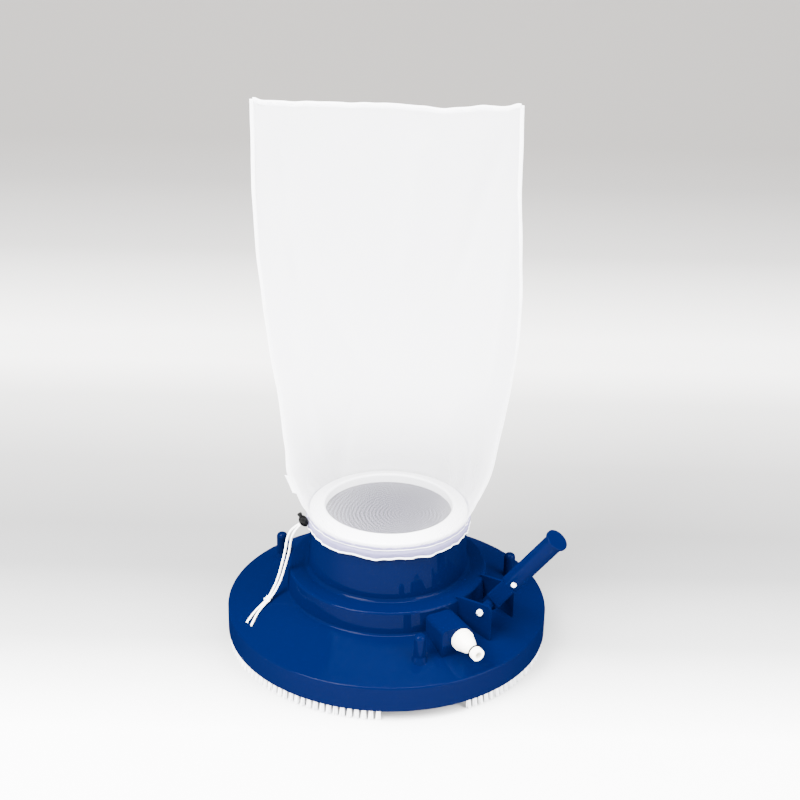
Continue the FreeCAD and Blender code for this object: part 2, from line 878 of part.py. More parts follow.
# ---------------------------------------------------------------- handle
def handle():
    """The folding handle: an eye on the pivot, a square block, and a round socket for a pole."""
    eye = across("handle_eye", "eye_radius", "eye_width", y="-eye_width / 2")
    web = box(
        "handle_web",
        "block_start + 2",
        "eye_width",
        "2 * eye_radius",
        y="-eye_width / 2",
        z="-eye_radius",
    )
    block = box(
        "handle_block_form",
        "block_end - block_start",
        "2 * handle_radius",
        "block_rise + block_drop",
        x="block_start",
        y="-handle_radius",
        z="-block_drop",
    )

    def long_edge(edge):
        return abs(edge.Length - value("block_end - block_start")) < 1e-6

    soft_block = rounded("handle_block", block, "block_round", long_edge)
    band = box(
        "handle_band",
        "block_band",
        "2 * handle_radius + 1.2",
        "block_rise + block_drop + 1.2",
        x="block_start",
        y="-handle_radius - 0.6",
        z="-block_drop - 0.6",
    )
    tube = lengthwise("handle_tube", "handle_radius", "handle_length - cap_rim - block_end + 3", "block_end - 3")
    bore = lengthwise("handle_hollow", "handle_bore", "handle_length - block_end", "block_end - 2")
    pivot = across("handle_pivot", "bolt_radius + turning_clearance", "2 * eye_width", y="-eye_width")
    button_way = across(
        "button_way",
        "button_radius + button_clearance",
        "4 * handle_radius",
        x="button_reach",
        y="-2 * handle_radius",
        z="-button_drop",
    )
    body = less("handle", joined("handle_form", eye, web, soft_block, band, tube), bore, pivot, button_way)
    keep(on_handle(group("handle_on_pivot", body)), "handle")

    rim = lengthwise("cap_rim_form", "cap_rim_radius", "cap_rim", "handle_length - cap_rim")
    soft_rim = rounded("cap_rim_soft", rim, "0.5", lambda edge: edge.Curve.TypeId == "Part::GeomCircle")
    plug = lengthwise(
        "cap_plug_form", "handle_bore - spigot_clearance", "cap_plug", "handle_length - cap_rim / 2 - cap_plug"
    )
    hollow = lengthwise(
        "cap_plug_hollow",
        "handle_bore - 2",
        "cap_plug - cap_rim",
        "handle_length - cap_rim / 2 - cap_plug",
    )
    cap = less("handle_cap", joined("cap_form", soft_rim, plug), hollow)
    keep(on_handle(group("cap_on_pivot", cap)), "handle_cap")


def spring_clip():
    """The sprung clip in the handle: a block that grips the bore and two leaves with lock buttons."""
    grip = lengthwise("clip_grip_round", "handle_bore", "clip_block", "clip_reach")
    flat = box(
        "clip_grip_flat",
        "clip_block",
        "2 * handle_bore",
        "clip_leaf_width",
        x="clip_reach",
        y="-handle_bore",
        z="-button_drop - clip_leaf_width / 2",
    )
    block = doc.addObject("Part::Common", "clip_block_form")
    block.Base = grip
    block.Tool = flat
    keep(on_handle(group("clip_on_pivot", block)), "spring_clip_block")
    foot = value("clip_reach - side_clearance")
    tip = value("button_reach - button_radius - 0.6")
    thick = value("clip_leaf")
    width = value("clip_leaf_width")
    drop = value("button_drop")
    room = math.sqrt(value("handle_bore") ** 2 - (drop + width / 2) ** 2)
    inner_tip = room - thick - value("side_clearance")
    inner_foot = thick
    button_top = math.sqrt(value("handle_radius") ** 2 - drop**2) + value("button_stand")
    for side, sign in (("right", -1), ("left", 1)):
        corners = (
            (foot, inner_foot),
            (foot, inner_foot + thick),
            (tip, inner_tip + thick),
            (tip, inner_tip),
        )
        spots = [FreeCAD.Vector(x, sign * y, -drop - width / 2) for x, y in corners]
        leaf = Part.Face(Part.makePolygon(spots + spots[:1])).extrude(UP * width)
        start = FreeCAD.Vector(value("button_reach"), sign * (inner_tip + thick / 2), -drop)
        stud = Part.makeCylinder(
            value("button_radius"), button_top - inner_tip - thick / 2, start, FreeCAD.Vector(0, sign, 0)
        )
        top_edges = [edge for edge in stud.Edges if abs(abs(edge.CenterOfMass.y) - button_top) < 1e-6]
        stud = stud.makeFillet(0.7, top_edges)
        turn = FreeCAD.Rotation(RIGHTWARD, value("handle_tilt"))
        spot = FreeCAD.Vector(value("pivot_reach"), 0, value("pivot_height"))
        there = FreeCAD.Placement(spot, turn)
        keep(shaped("lock_button_form_" + side, leaf.fuse(stud), there), "lock_button_" + side)


def pivot_hardware():
    """The slotted bolt through the ears, its nut, and the spacers either side of the handle's eye."""
    face = "bracket_gap / 2 + ear_thickness"
    length = "bracket_gap + 2 * ear_thickness + nut_height + 1"
    shank = across("bolt_shank", "bolt_radius", length, x="pivot_reach", y="-(%s)" % face, z="pivot_height")
    head = across(
        "bolt_head",
        "bolt_head_radius",
        "bolt_head_height",
        x="pivot_reach",
        y="-(%s) - bolt_head_height" % face,
        z="pivot_height",
    )
    slot = place(
        group(
            "bolt_slot_group",
            box(
                "bolt_slot",
                "2 * bolt_head_radius + 2",
                "bolt_head_height / 2",
                "1.1",
                x="-bolt_head_radius - 1",
                y="0",
                z="-0.55",
            ),
        ),
        "pivot_reach",
        "-(%s) - bolt_head_height - 0.01" % face,
        "pivot_height",
        LEFTWARD,
        "-50",
    )
    keep(less("pivot_bolt", joined("pivot_bolt_form", shank, head), slot), "pivot_bolt")
    prism = doc.addObject("Part::Prism", "nut_prism")
    prism.Polygon = 6
    bind(prism, Circumradius="nut_radius", Height="nut_height")
    place(prism, "pivot_reach", face, "pivot_height", FreeCAD.Vector(-1, 0, 0), "90")
    nut_bore = across("nut_bore", "bolt_radius", "nut_height", x="pivot_reach", y=face, z="pivot_height")
    keep(less("pivot_nut", prism, nut_bore), "pivot_nut")
    gap = "bracket_gap / 2 - eye_width / 2 - 2 * side_clearance"
    for side, start in (
        ("right", "-bracket_gap / 2 + side_clearance / 2"),
        ("left", "eye_width / 2 + 1.5 * side_clearance"),
    ):
        where = {"x": "pivot_reach", "y": start, "z": "pivot_height"}
        sleeve = less(
            "spacer_" + side,
            across("spacer_outside_" + side, "bolt_radius + 2.5", gap, **where),
            across("spacer_bore_" + side, "bolt_radius", gap, **where),
        )
        keep(sleeve, "pivot_spacer_" + side)


# ---------------------------------------------------------------- bag
# Each level of the bag: its share of the height, half its width as a share of the flat half-width,
# and how far it leans to one side in millimetres. The depth follows from the cloth's girth, and the
# bag closes to a flat seam at its top.
BAG_LEVELS = (
    (0.10, 0.785, -1.0),
    (0.19, 0.842, 1.5),
    (0.31, 0.890, 2.5),
    (0.45, 0.945, 1.0),
    (0.67, 0.980, -4.0),
    (0.86, 0.982, -9.0),
    (1.00, 0.985, -11.0),
)


LABEL_LEAN = 28.0  # degrees, with the seam as it widens above the collar


def half_depth(half_width, girth):
    """The other half-axis of an ellipse with this half-width and girth."""
    low = 0.0
    high = half_width
    for _ in range(50):
        depth = (low + high) / 2
        spread = 3 * (half_width + depth)
        spread -= math.sqrt((3 * half_width + depth) * (half_width + 3 * depth))
        if math.pi * spread < girth:
            low = depth
        else:
            high = depth
    return low


def bag_form(shrink, foot, top):
    """The bag's closed form, drawn in by a distance: round at the collar and flat at the top seam."""
    mouth = value("collar_radius + bag_clearance + bag_wall")
    base = value("bag_foot")
    height = value("bag_top") - base
    girth = 2 * value("bag_flat_width")
    flat_half = value("bag_flat_width") / 2
    hem = value("neck_top_radius + 2 * string_radius + 3 * bag_clearance + bag_wall")
    levels = [(foot, hem, hem, 0.0), (value("neck_top") + 3, mouth, mouth, 0.0)]
    for share, width, lean in BAG_LEVELS:
        half = flat_half * width
        deep = max(half_depth(half, girth) * (1 - share**2), value("top_seam"))
        level = base + share * height
        levels.append((min(level, top), half, deep, lean))
    wires = []
    for level, half, deep, lean in levels:
        ring = Part.Ellipse(FreeCAD.Vector(lean, 0, level), half - shrink, deep - shrink)
        wires.append(Part.Wire([ring.toShape()]))
    return Part.makeLoft(wires, True, False)


def bag():
    """The bag's two mesh panels, the drawstring in its hem, and a blank label at one side seam."""
    wall = value("bag_wall")
    outside = bag_form(0.0, value("bag_foot"), value("bag_top"))
    inside = bag_form(wall, value("bag_foot") - THROUGH, value("bag_top") - 2 * wall)
    turn = FreeCAD.Placement(FreeCAD.Vector(), FreeCAD.Rotation(UP, value("bag_turn")))
    cloth = outside.cut(inside)
    reach = value("bag_flat_width")
    for side, start in (("front", -reach), ("back", 0.0)):
        corner = FreeCAD.Vector(-reach, start, value("bag_foot") - 10)
        half = Part.makeBox(2 * reach, reach, value("bag_top"), corner)
        keep(shaped("bag_form_" + side, cloth.common(half), turn), "bag_" + side)
    height = "string_height"
    drop = "(neck_foot_radius - neck_top_radius) * (neck_top - string_height) / (neck_top - shoulder_top)"
    keep(
        torus("string_form", "neck_top_radius + %s + string_radius + bag_clearance" % drop, "string_radius", z=height),
        "drawstring",
    )
    label_height = value("label_foot")
    seam = value("collar_radius") + (label_height - value("neck_top")) * math.tan(math.radians(LABEL_LEAN))
    label = Part.makeBox(
        value("label_width"),
        value("label_thickness"),
        value("label_length"),
        FreeCAD.Vector(-value("label_width"), -value("label_thickness") / 2, 0),
    )
    label.rotate(FreeCAD.Vector(), LEFTWARD, -LABEL_LEAN)
    label.translate(FreeCAD.Vector(-seam, 0, label_height))
    keep(shaped("label_form", label, turn), "blank_label")


# ---------------------------------------------------------------- cord lock and tails
# The two tails of the drawstring, from the cord lock to their cut ends.
TAIL_ROUTES = {
    "left": (
        (-73.8, -76.0, 157.2),
        (-78.6, -78.4, 153.0),
        (-84.4, -80.4, 146.6),
        (-88.5, -81.4, 135.0),
        (-90.2, -82.6, 119.4),
        (-93.5, -85.8, 100.0),
        (-96.0, -89.8, 84.0),
        (-99.2, -96.5, 69.5),
        (-101.6, -105.0, 60.8),
        (-102.8, -114.0, 57.4),
        (-104.2, -122.5, 54.8),
        (-103.6, -133.0, 52.4),
        (-102.3, -143.9, 49.8),
    ),
    "right": (
        (-71.6, -78.0, 157.2),
        (-75.6, -80.0, 152.0),
        (-80.4, -81.0, 143.5),
        (-84.0, -80.6, 132.7),
        (-85.6, -80.8, 118.8),
        (-89.2, -83.8, 101.0),
        (-92.2, -87.6, 84.5),
        (-95.5, -94.8, 70.3),
        (-98.4, -103.9, 61.6),
        (-99.8, -113.4, 57.9),
        (-100.0, -122.8, 55.2),
        (-97.4, -134.6, 52.9),
        (-93.4, -147.2, 50.4),
    ),
}
CORNER_SHARE = 0.45  # how much of the shorter run each corner's arc takes


def rounded_route(points):
    """Straight runs joined by tangent arcs, each as large as its two runs allow."""
    spots = [FreeCAD.Vector(*point) for point in points]
    edges = []
    radii = []
    start = spots[0]
    for before, corner, after in zip(spots, spots[1:], spots[2:]):
        back = before - corner
        ahead = after - corner
        reach = CORNER_SHARE * min(back.Length, ahead.Length)
        turn = math.pi - back.getAngle(ahead)
        radii.append(reach / math.tan(turn / 2))
        entry = corner + FreeCAD.Vector(back).normalize() * reach
        leave = corner + FreeCAD.Vector(ahead).normalize() * reach
        inward = ((entry + leave) * 0.5 - corner).normalize()
        sag = radii[-1] / math.cos(turn / 2) - radii[-1]
        edges.append(Part.LineSegment(start, entry).toShape())
        edges.append(Part.Arc(entry, corner + inward * sag, leave).toShape())
        start = leave
    edges.append(Part.LineSegment(start, spots[-1]).toShape())
    return Part.Wire(edges), radii


def cord_tube(points, radius):
    """A round cord along a route, and the smallest bend on it."""
    path, radii = rounded_route(points)
    first = FreeCAD.Vector(*points[0])
    way = FreeCAD.Vector(*points[1]) - first
    ring = Part.Wire([Part.Circle(first, way, radius).toShape()])
    tube = path.makePipeShell([ring], True, False)
    expected = math.pi * radius**2 * path.Length
    if abs(tube.Volume - expected) > 0.02 * expected:
        raise ValueError("cord volume %g is not %g" % (tube.Volume, expected))
    return tube, path.Length, min(radii)


def cord_lock():
    """The sprung cord lock at the hem, the two cord tails and their knot."""
    lean = FreeCAD.Vector(-0.396, -0.233, 0.888)
    lean.normalize()
    angle = math.radians(value("lock_angle"))
    reach = value("lock_reach")
    middle = FreeCAD.Vector(reach * math.cos(angle), reach * math.sin(angle), value("lock_height"))
    turn = FreeCAD.Rotation(UP, lean)
    there = FreeCAD.Placement(middle, turn)
    radius = value("lock_radius")
    length = value("lock_length")
    core = value("plunger_radius")
    gap = value("plunger_clearance")
    travel = value("plunger_travel")

    def spot(across_it, along):
        return FreeCAD.Vector(across_it, 0, along)

    low = -length / 2
    high = length / 2
    belly = Part.Arc(spot(0, low), spot(radius * 0.98, low + radius * 0.95), spot(core + 1.1, high)).toShape()
    sides = [
        belly,
        Part.LineSegment(spot(core + 1.1, high), spot(0, high)).toShape(),
        Part.LineSegment(spot(0, high), spot(0, low)).toShape(),
    ]
    barrel = Part.Face(Part.Wire(sides)).revolve(FreeCAD.Vector(), UP, 360)
    well_foot = low + 2.2
    well = Part.makeCylinder(core + gap, length, spot(0, well_foot), UP)
    eye_height = 0.5
    cord_way = Part.makeCylinder(1.9, 4 * radius, FreeCAD.Vector(0, -2 * radius, eye_height), LEFTWARD)
    keep(shaped("cord_lock_form", barrel.cut(well).cut(cord_way), there), "cord_lock_body")
    stem_foot = well_foot + travel + 1.5
    stem = Part.makeCylinder(core, high + travel - stem_foot + 0.2, spot(0, stem_foot), UP)
    knob = Part.makeCylinder(value("knob_radius"), value("knob_height"), spot(0, high + travel + 0.1), UP)
    button = stem.fuse(knob).cut(
        Part.makeCylinder(2.0, 4 * radius, FreeCAD.Vector(0, -2 * radius, eye_height + 0.4), LEFTWARD)
    )
    keep(shaped("cord_lock_button_form", button, there), "cord_lock_button")
    spring = Part.makeCylinder(core - 0.4, travel + 1.3, spot(0, well_foot + 0.1), UP)
    spring = spring.cut(Part.makeCylinder(core - 1.2, travel + 1.3, spot(0, well_foot + 0.1), UP))
    keep(shaped("cord_lock_spring_form", spring, there), "cord_lock_spring")
    knot_spot = FreeCAD.Vector(-100.2, -104.4, 62.0)
    knot = Part.makeSphere(value("knot_radius"), knot_spot)
    for name, points in TAIL_ROUTES.items():
        tube, length_made, tightest = cord_tube(points, value("cord_radius"))
        print("cord tail %s: length %.1f, tightest bend %.1f" % (name, length_made, tightest))
        keep(shaped("cord_tail_form_" + name, tube), "cord_tail_" + name)
    keep(shaped("cord_knot_form", knot), "cord_knot")


# ---------------------------------------------------------------- assembly
def write_parts():
    """Check every object and every sub-part, then write one STEP file for each sub-part."""
    doc.recompute()
    for item in doc.Objects:
        if "Invalid" in item.State or "Error" in item.State:
            raise ValueError("%s failed: %s" % (item.Name, item.State))
    for node, item in parts:
        if item.Shape.isNull() or not item.Shape.isValid() or not item.Shape.Solids:
            raise ValueError("%s has no valid solid" % node)
    os.makedirs("parts", exist_ok=True)
    for node, item in parts:
        item.Shape.exportStep("parts/%s.step" % node)
    print("%d sub-parts written" % len(parts))


head_shell()
hose_connector()
jet_ring()
throat()
brushes()
casters()
pivot_hardware()
handle()
spring_clip()
bag()
cord_lock()
write_parts()
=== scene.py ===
import json
import math
import random

import bpy
import numpy as np
from mathutils import Matrix, Vector, noise


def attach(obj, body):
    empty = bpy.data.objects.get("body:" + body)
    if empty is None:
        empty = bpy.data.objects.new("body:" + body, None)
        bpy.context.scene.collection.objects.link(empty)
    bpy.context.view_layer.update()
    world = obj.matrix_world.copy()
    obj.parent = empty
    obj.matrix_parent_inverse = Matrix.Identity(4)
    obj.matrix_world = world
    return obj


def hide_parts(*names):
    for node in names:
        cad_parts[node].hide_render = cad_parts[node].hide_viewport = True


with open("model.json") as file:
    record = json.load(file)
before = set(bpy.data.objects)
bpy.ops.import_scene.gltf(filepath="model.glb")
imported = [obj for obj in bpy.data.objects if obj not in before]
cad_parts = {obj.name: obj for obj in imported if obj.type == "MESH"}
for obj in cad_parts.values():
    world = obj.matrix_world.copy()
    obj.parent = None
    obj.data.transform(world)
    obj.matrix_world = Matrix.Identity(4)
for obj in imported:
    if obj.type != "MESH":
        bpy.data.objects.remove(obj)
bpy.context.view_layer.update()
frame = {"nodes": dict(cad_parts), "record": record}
nodes = frame["nodes"]
rng = random.Random(7)
TURN = math.radians(30.5)  # the bag's flat side faces the camera's side of the head
MM = 0.001
BAG_COLUMNS = 320  # points round the bag
BAG_ROWS = 300  # points from the collar to the top seam
HEM_ROWS = 26
STITCH_ROW = 7
BRUSH_GAP = 15.0  # degrees left free each side of a caster
TUFT_PITCH = 2.45  # degrees from one tuft of bristles to the next
TUFT_FILAMENTS = 46
SCREEN_PITCH = 0.0031


# ---------------------------------------------------------------- materials
def material(name):
    made = bpy.data.materials.new(name)
    made.use_nodes = True
    tree = made.node_tree
    tree.nodes.clear()
    return made, tree, tree.nodes.new("ShaderNodeOutputMaterial")


def node_in(tree, kind, **values):
    made = tree.nodes.new(kind)
    for key, amount in values.items():
        if key in made.inputs:
            made.inputs[key].default_value = amount
        else:
            setattr(made, key, amount)
    return made


def bump(tree, shader, scale, strength, distance, detail=3.0, coordinates=None):
    """A fine uneven surface on a shader."""
    wave = node_in(tree, "ShaderNodeTexNoise", Scale=scale, Detail=detail, Roughness=0.6)
    if coordinates is None:
        coordinates = tree.nodes.new("ShaderNodeTexCoord").outputs["Object"]
    tree.links.new(coordinates, wave.inputs["Vector"])
    lift = node_in(tree, "ShaderNodeBump", Strength=strength, Distance=distance)
    tree.links.new(wave.outputs["Fac"], lift.inputs["Height"])
    tree.links.new(lift.outputs["Normal"], shader.inputs["Normal"])


def plastic(name, colour, rough, grain=0.0, grain_scale=900.0, shine=0.5):
    made, tree, out = material(name)
    shader = node_in(tree, "ShaderNodeBsdfPrincipled", Roughness=rough)
    shader.inputs["Base Color"].default_value = (*colour, 1)
    shader.inputs["Specular IOR Level"].default_value = shine
    if grain:
        bump(tree, shader, grain_scale, grain, 0.0002)
    tree.links.new(shader.outputs[0], out.inputs["Surface"])
    return made


def deep_plastic(name, colour, rough, share):
    """A deep-coloured moulding whose sheen is the same small share of the light at every angle."""
    made, tree, out = material(name)
    base = node_in(tree, "ShaderNodeBsdfDiffuse", Roughness=0.3)
    base.inputs["Color"].default_value = (*colour, 1)
    sheen = node_in(tree, "ShaderNodeBsdfGlossy", Roughness=rough)
    bump(tree, base, 200.0, 0.06, 0.0002)
    bump(tree, sheen, 200.0, 0.06, 0.0002)
    mix = node_in(tree, "ShaderNodeMixShader", Fac=share)
    tree.links.new(base.outputs[0], mix.inputs[1])
    tree.links.new(sheen.outputs[0], mix.inputs[2])
    tree.links.new(mix.outputs[0], out.inputs["Surface"])
    return made


def metal(name, colour, rough):
    made, tree, out = material(name)
    shader = node_in(tree, "ShaderNodeBsdfPrincipled", Roughness=rough, Metallic=1.0)
    shader.inputs["Base Color"].default_value = (*colour, 1)
    tree.links.new(shader.outputs[0], out.inputs["Surface"])
    return made


def cloth(name, colour, clear, glow=0.45, stretched=0.0):
    """Thin white mesh cloth: part clear, part light passing through, part plain.

    It is clearer low down, where it is stretched over the collar.
    """
    made, tree, out = material(name)
    plain = node_in(tree, "ShaderNodeBsdfDiffuse", Roughness=0.6)
    plain.inputs["Color"].default_value = (*colour, 1)
    through = node_in(tree, "ShaderNodeBsdfTranslucent")
    through.inputs["Color"].default_value = (*colour, 1)
    gap = node_in(tree, "ShaderNodeBsdfTransparent")
    gap.inputs["Color"].default_value = (0.97, 0.97, 0.99, 1)
    thread = node_in(tree, "ShaderNodeMixShader", Fac=glow)
    tree.links.new(plain.outputs[0], thread.inputs[1])
    tree.links.new(through.outputs[0], thread.inputs[2])
    facing = node_in(tree, "ShaderNodeLayerWeight", Blend=0.35)
    fade = node_in(tree, "ShaderNodeMath", operation="MULTIPLY_ADD")
    fade.inputs[1].default_value = -clear
    fade.inputs[2].default_value = clear
    tree.links.new(facing.outputs["Facing"], fade.inputs[0])
    mix = tree.nodes.new("ShaderNodeMixShader")
    share = fade.outputs[0]
    if stretched:
        where = tree.nodes.new("ShaderNodeTexCoord")
        split = tree.nodes.new("ShaderNodeSeparateXYZ")
        tree.links.new(where.outputs["Object"], split.inputs[0])
        low = node_in(tree, "ShaderNodeMapRange", interpolation_type="SMOOTHSTEP")
        low.inputs["From Min"].default_value = 0.34
        low.inputs["From Max"].default_value = 0.21
        low.inputs["To Min"].default_value = 1.0
        low.inputs["To Max"].default_value = 1.0 + stretched
        tree.links.new(split.outputs["Z"], low.inputs["Value"])
        more = node_in(tree, "ShaderNodeMath", operation="MULTIPLY")
        tree.links.new(share, more.inputs[0])
        tree.links.new(low.outputs["Result"], more.inputs[1])
        share = more.outputs[0]
    tree.links.new(share, mix.inputs[0])
    tree.links.new(thread.outputs[0], mix.inputs[1])
    tree.links.new(gap.outputs[0], mix.inputs[2])
    tree.links.new(mix.outputs[0], out.inputs["Surface"])
    return made


def screen_material():
    """Woven screen: grey threads with square holes between them, and a faint ringed shimmer painted into the
    threads' colour: moiré rings of light and dark, not a tone of the threads themselves.
    """
    made, tree, out = material("woven_screen")
    thread = node_in(tree, "ShaderNodeBsdfDiffuse", Roughness=0.5)
    hole = tree.nodes.new("ShaderNodeBsdfTransparent")
    where = tree.nodes.new("ShaderNodeTexCoord")
    split = tree.nodes.new("ShaderNodeSeparateXYZ")
    tree.links.new(where.outputs["Object"], split.inputs[0])
    bars = []
    for axis in ("X", "Y"):
        scaled = node_in(tree, "ShaderNodeMath", operation="MULTIPLY")
        scaled.inputs[1].default_value = 1 / SCREEN_PITCH
        tree.links.new(split.outputs[axis], scaled.inputs[0])
        part = node_in(tree, "ShaderNodeMath", operation="FRACT")
        tree.links.new(scaled.outputs[0], part.inputs[0])
        bar = node_in(tree, "ShaderNodeMath", operation="LESS_THAN")
        bar.inputs[1].default_value = 0.5
        tree.links.new(part.outputs[0], bar.inputs[0])
        bars.append(bar)
    either = node_in(tree, "ShaderNodeMath", operation="MAXIMUM")
    tree.links.new(bars[0].outputs[0], either.inputs[0])
    tree.links.new(bars[1].outputs[0], either.inputs[1])
    # painted moiré: rings of light and dark laid over the threads' colour, standing for the shimmer seen in
    # the screen, not its own tone
    moire_rings = node_in(tree, "ShaderNodeTexWave", Scale=70.0, Distortion=3.0, Detail=1.0)
    moire_rings.inputs["Detail Scale"].default_value = 0.6
    shift = node_in(tree, "ShaderNodeVectorMath", operation="ADD")
    shift.inputs[1].default_value = (-0.022, -0.004, 0.0)
    tree.links.new(where.outputs["Object"], shift.inputs[0])
    moire_rings.wave_type = "RINGS"
    moire_rings.rings_direction = "Z"
    tree.links.new(shift.outputs["Vector"], moire_rings.inputs["Vector"])
    painted_moire_shade = tree.nodes.new("ShaderNodeValToRGB")
    painted_moire_shade.color_ramp.elements[0].color = (0.012, 0.0115, 0.016, 1)
    painted_moire_shade.color_ramp.elements[1].color = (0.13, 0.126, 0.16, 1)
    tree.links.new(moire_rings.outputs["Fac"], painted_moire_shade.inputs["Fac"])
    tree.links.new(painted_moire_shade.outputs["Color"], thread.inputs["Color"])
    mix = tree.nodes.new("ShaderNodeMixShader")
    tree.links.new(either.outputs[0], mix.inputs[0])
    tree.links.new(hole.outputs[0], mix.inputs[1])
    tree.links.new(thread.outputs[0], mix.inputs[2])
    tree.links.new(mix.outputs[0], out.inputs["Surface"])
    return made


BLUE = deep_plastic("blue_moulding", (0.00004, 0.0018, 0.0178), 0.06, 0.0018)
WHITE = plastic("white_moulding", (0.86, 0.86, 0.86), 0.35)
IVORY = plastic("ivory_moulding", (0.88, 0.86, 0.79), 0.32)
GREY = plastic("grey_moulding", (0.0016, 0.0017, 0.0019), 0.35, shine=0.06)
BLACK = plastic("black_moulding", (0.0016, 0.0016, 0.0018), 0.35, shine=0.06)
RUBBER = plastic("black_rubber", (0.001, 0.001, 0.001), 0.6, shine=0.03)
STEEL = metal("plain_steel", (0.62, 0.62, 0.63), 0.3)
NYLON = plastic("white_nylon", (0.94, 0.94, 0.96), 0.42)
MESH = cloth("white_mesh_cloth", (0.93, 0.93, 0.95), 0.4, stretched=1.35)
SEAM = cloth("white_seam_cloth", (0.94, 0.94, 0.95), 0.06, 0.3)
# painted shade: the white hem cloth is given a dark lavender colour to stand for the blue collar seen
# through it, not the cloth's own white
HEM = cloth("white_hem_cloth", (0.24, 0.225, 0.4), 0.2, 0.3)
SCREEN = screen_material()
CORD = plastic("white_cord", (0.85, 0.85, 0.84), 0.75, grain=0.7, grain_scale=700.0)

LOOKS = {
    "blue_plastic": BLUE,
    "white_plastic": WHITE,
    "ivory_plastic": IVORY,
    "grey_plastic": GREY,
    "black_plastic": BLACK,
    "grey_mesh": SCREEN,
    "white_mesh": MESH,
    "white_cord": CORD,
    "bristle": NYLON,
    "rubber_black": RUBBER,
    "stainless_steel": STEEL,
}
for entry in frame["record"]["subparts"]:
    piece = nodes[entry["node"]]
    piece.data.materials.clear()
    piece.data.materials.append(LOOKS[entry["material_slot"]])


# ---------------------------------------------------------------- making pieces
def piece(name, points, faces, look, smooth=True):
    mesh = bpy.data.meshes.new(name)
    mesh.from_pydata([tuple(p) for p in points], [], faces)
    mesh.validate()
    mesh.polygons.foreach_set("use_smooth", [smooth] * len(mesh.polygons))
    mesh.materials.append(look)
    made = bpy.data.objects.new(name, mesh)
    bpy.context.scene.collection.objects.link(made)
    return made


def grid_faces(rows, columns, closed):
    """Quads of a grid of points kept row by row."""
    wide = columns if closed else columns - 1
    return [
        (
            r * columns + c,
            r * columns + (c + 1) % columns,
            (r + 1) * columns + (c + 1) % columns,
            (r + 1) * columns + c,
        )
        for r in range(rows - 1)
        for c in range(wide)
    ]


def cord_curve(name, points, radius, look):
    curve = bpy.data.curves.new(name, "CURVE")
    curve.dimensions = "3D"
    curve.bevel_depth = radius
    curve.bevel_resolution = 5
    curve.use_fill_caps = True
    line = curve.splines.new("NURBS")
    line.points.add(len(points) - 1)
    for spot, point in zip(line.points, points):
        spot.co = (*point, 1)
    line.order_u = 3
    line.use_endpoint_u = True
    line.resolution_u = 12
    curve.materials.append(look)
    made = bpy.data.objects.new(name, curve)
    bpy.context.scene.collection.objects.link(made)
    return made


# ---------------------------------------------------------------- bag
# height, side lean, half width and half depth of the bag, in millimetres
LEVELS = np.array(
    (
        (163.0, 0.0, 94.2, 94.2),
        (168.0, 0.0, 94.6, 94.0),
        (177.0, -0.3, 101.0, 88.0),
        (199.0, -1.0, 112.0, 73.0),
        (244.0, 1.7, 119.5, 58.0),
        (300.0, 2.5, 127.0, 45.0),
        (368.0, 1.5, 136.5, 28.0),
        (478.0, -5.0, 142.0, 12.0),
        (541.0, -8.0, 141.5, 7.0),
        (600.0, -10.0, 141.0, 4.0),
        (640.0, -11.0, 140.5, 1.6),
    )
)


def between(levels, z):
    """Smooth values at heights z through rows of (height, values...)."""
    height = levels[:, 0]
    rows = []
    for column in levels[:, 1:].T:
        slope = np.gradient(column, height)
        i = np.clip(np.searchsorted(height, z) - 1, 0, len(height) - 2)
        gap = height[i + 1] - height[i]
        t = np.clip((z - height[i]) / gap, 0, 1)
        a, b = column[i], column[i + 1]
        rows.append(
            a * (2 * t**3 - 3 * t**2 + 1)
            + b * (3 * t**2 - 2 * t**3)
            + gap * slope[i] * (t**3 - 2 * t**2 + t)
            + gap * slope[i + 1] * (t**3 - t**2)
        )
    return rows


def soft(x):
    x = np.clip(x, 0, 1)
    return x * x * (3 - 2 * x)


def crease(x, z, from_x, from_z, to_x, to_z, width, depth):
    """A soft fold along a line on the cloth, fading at both ends."""
    ax, az = to_x - from_x, to_z - from_z
    t = ((x - from_x) * ax + (z - from_z) * az) / (ax * ax + az * az)
    off = ((x - from_x) * -az + (z - from_z) * ax) / math.hypot(ax, az)
    ends = soft(t * 4) * soft((1 - t) * 4)
    return depth * ends * np.exp(-((off / width) ** 2))


FRONT_FOLDS = (
    (-150, 560, -20, 330, 10, 4.0),
    (-128, 618, -95, 380, 7, -3.0),
    (30, 640, 10, 430, 14, 3.0),
    (118, 625, 60, 420, 9, -3.0),
    (132, 560, 112, 300, 8, 3.0),
    (-105, 420, -70, 235, 9, 3.5),
    (-40, 330, -62, 195, 9, -3.0),
    (70, 330, 62, 200, 10, 3.0),
    (100, 300, 92, 190, 6, -2.5),
)
BACK_FOLDS = (
    (-110, 600, 40, 330, 12, 4.0),
    (90, 610, 10, 400, 12, -4.0),
    (60, 330, 30, 200, 10, 4.0),
    (-70, 330, -50, 200, 10, -4.0),
)


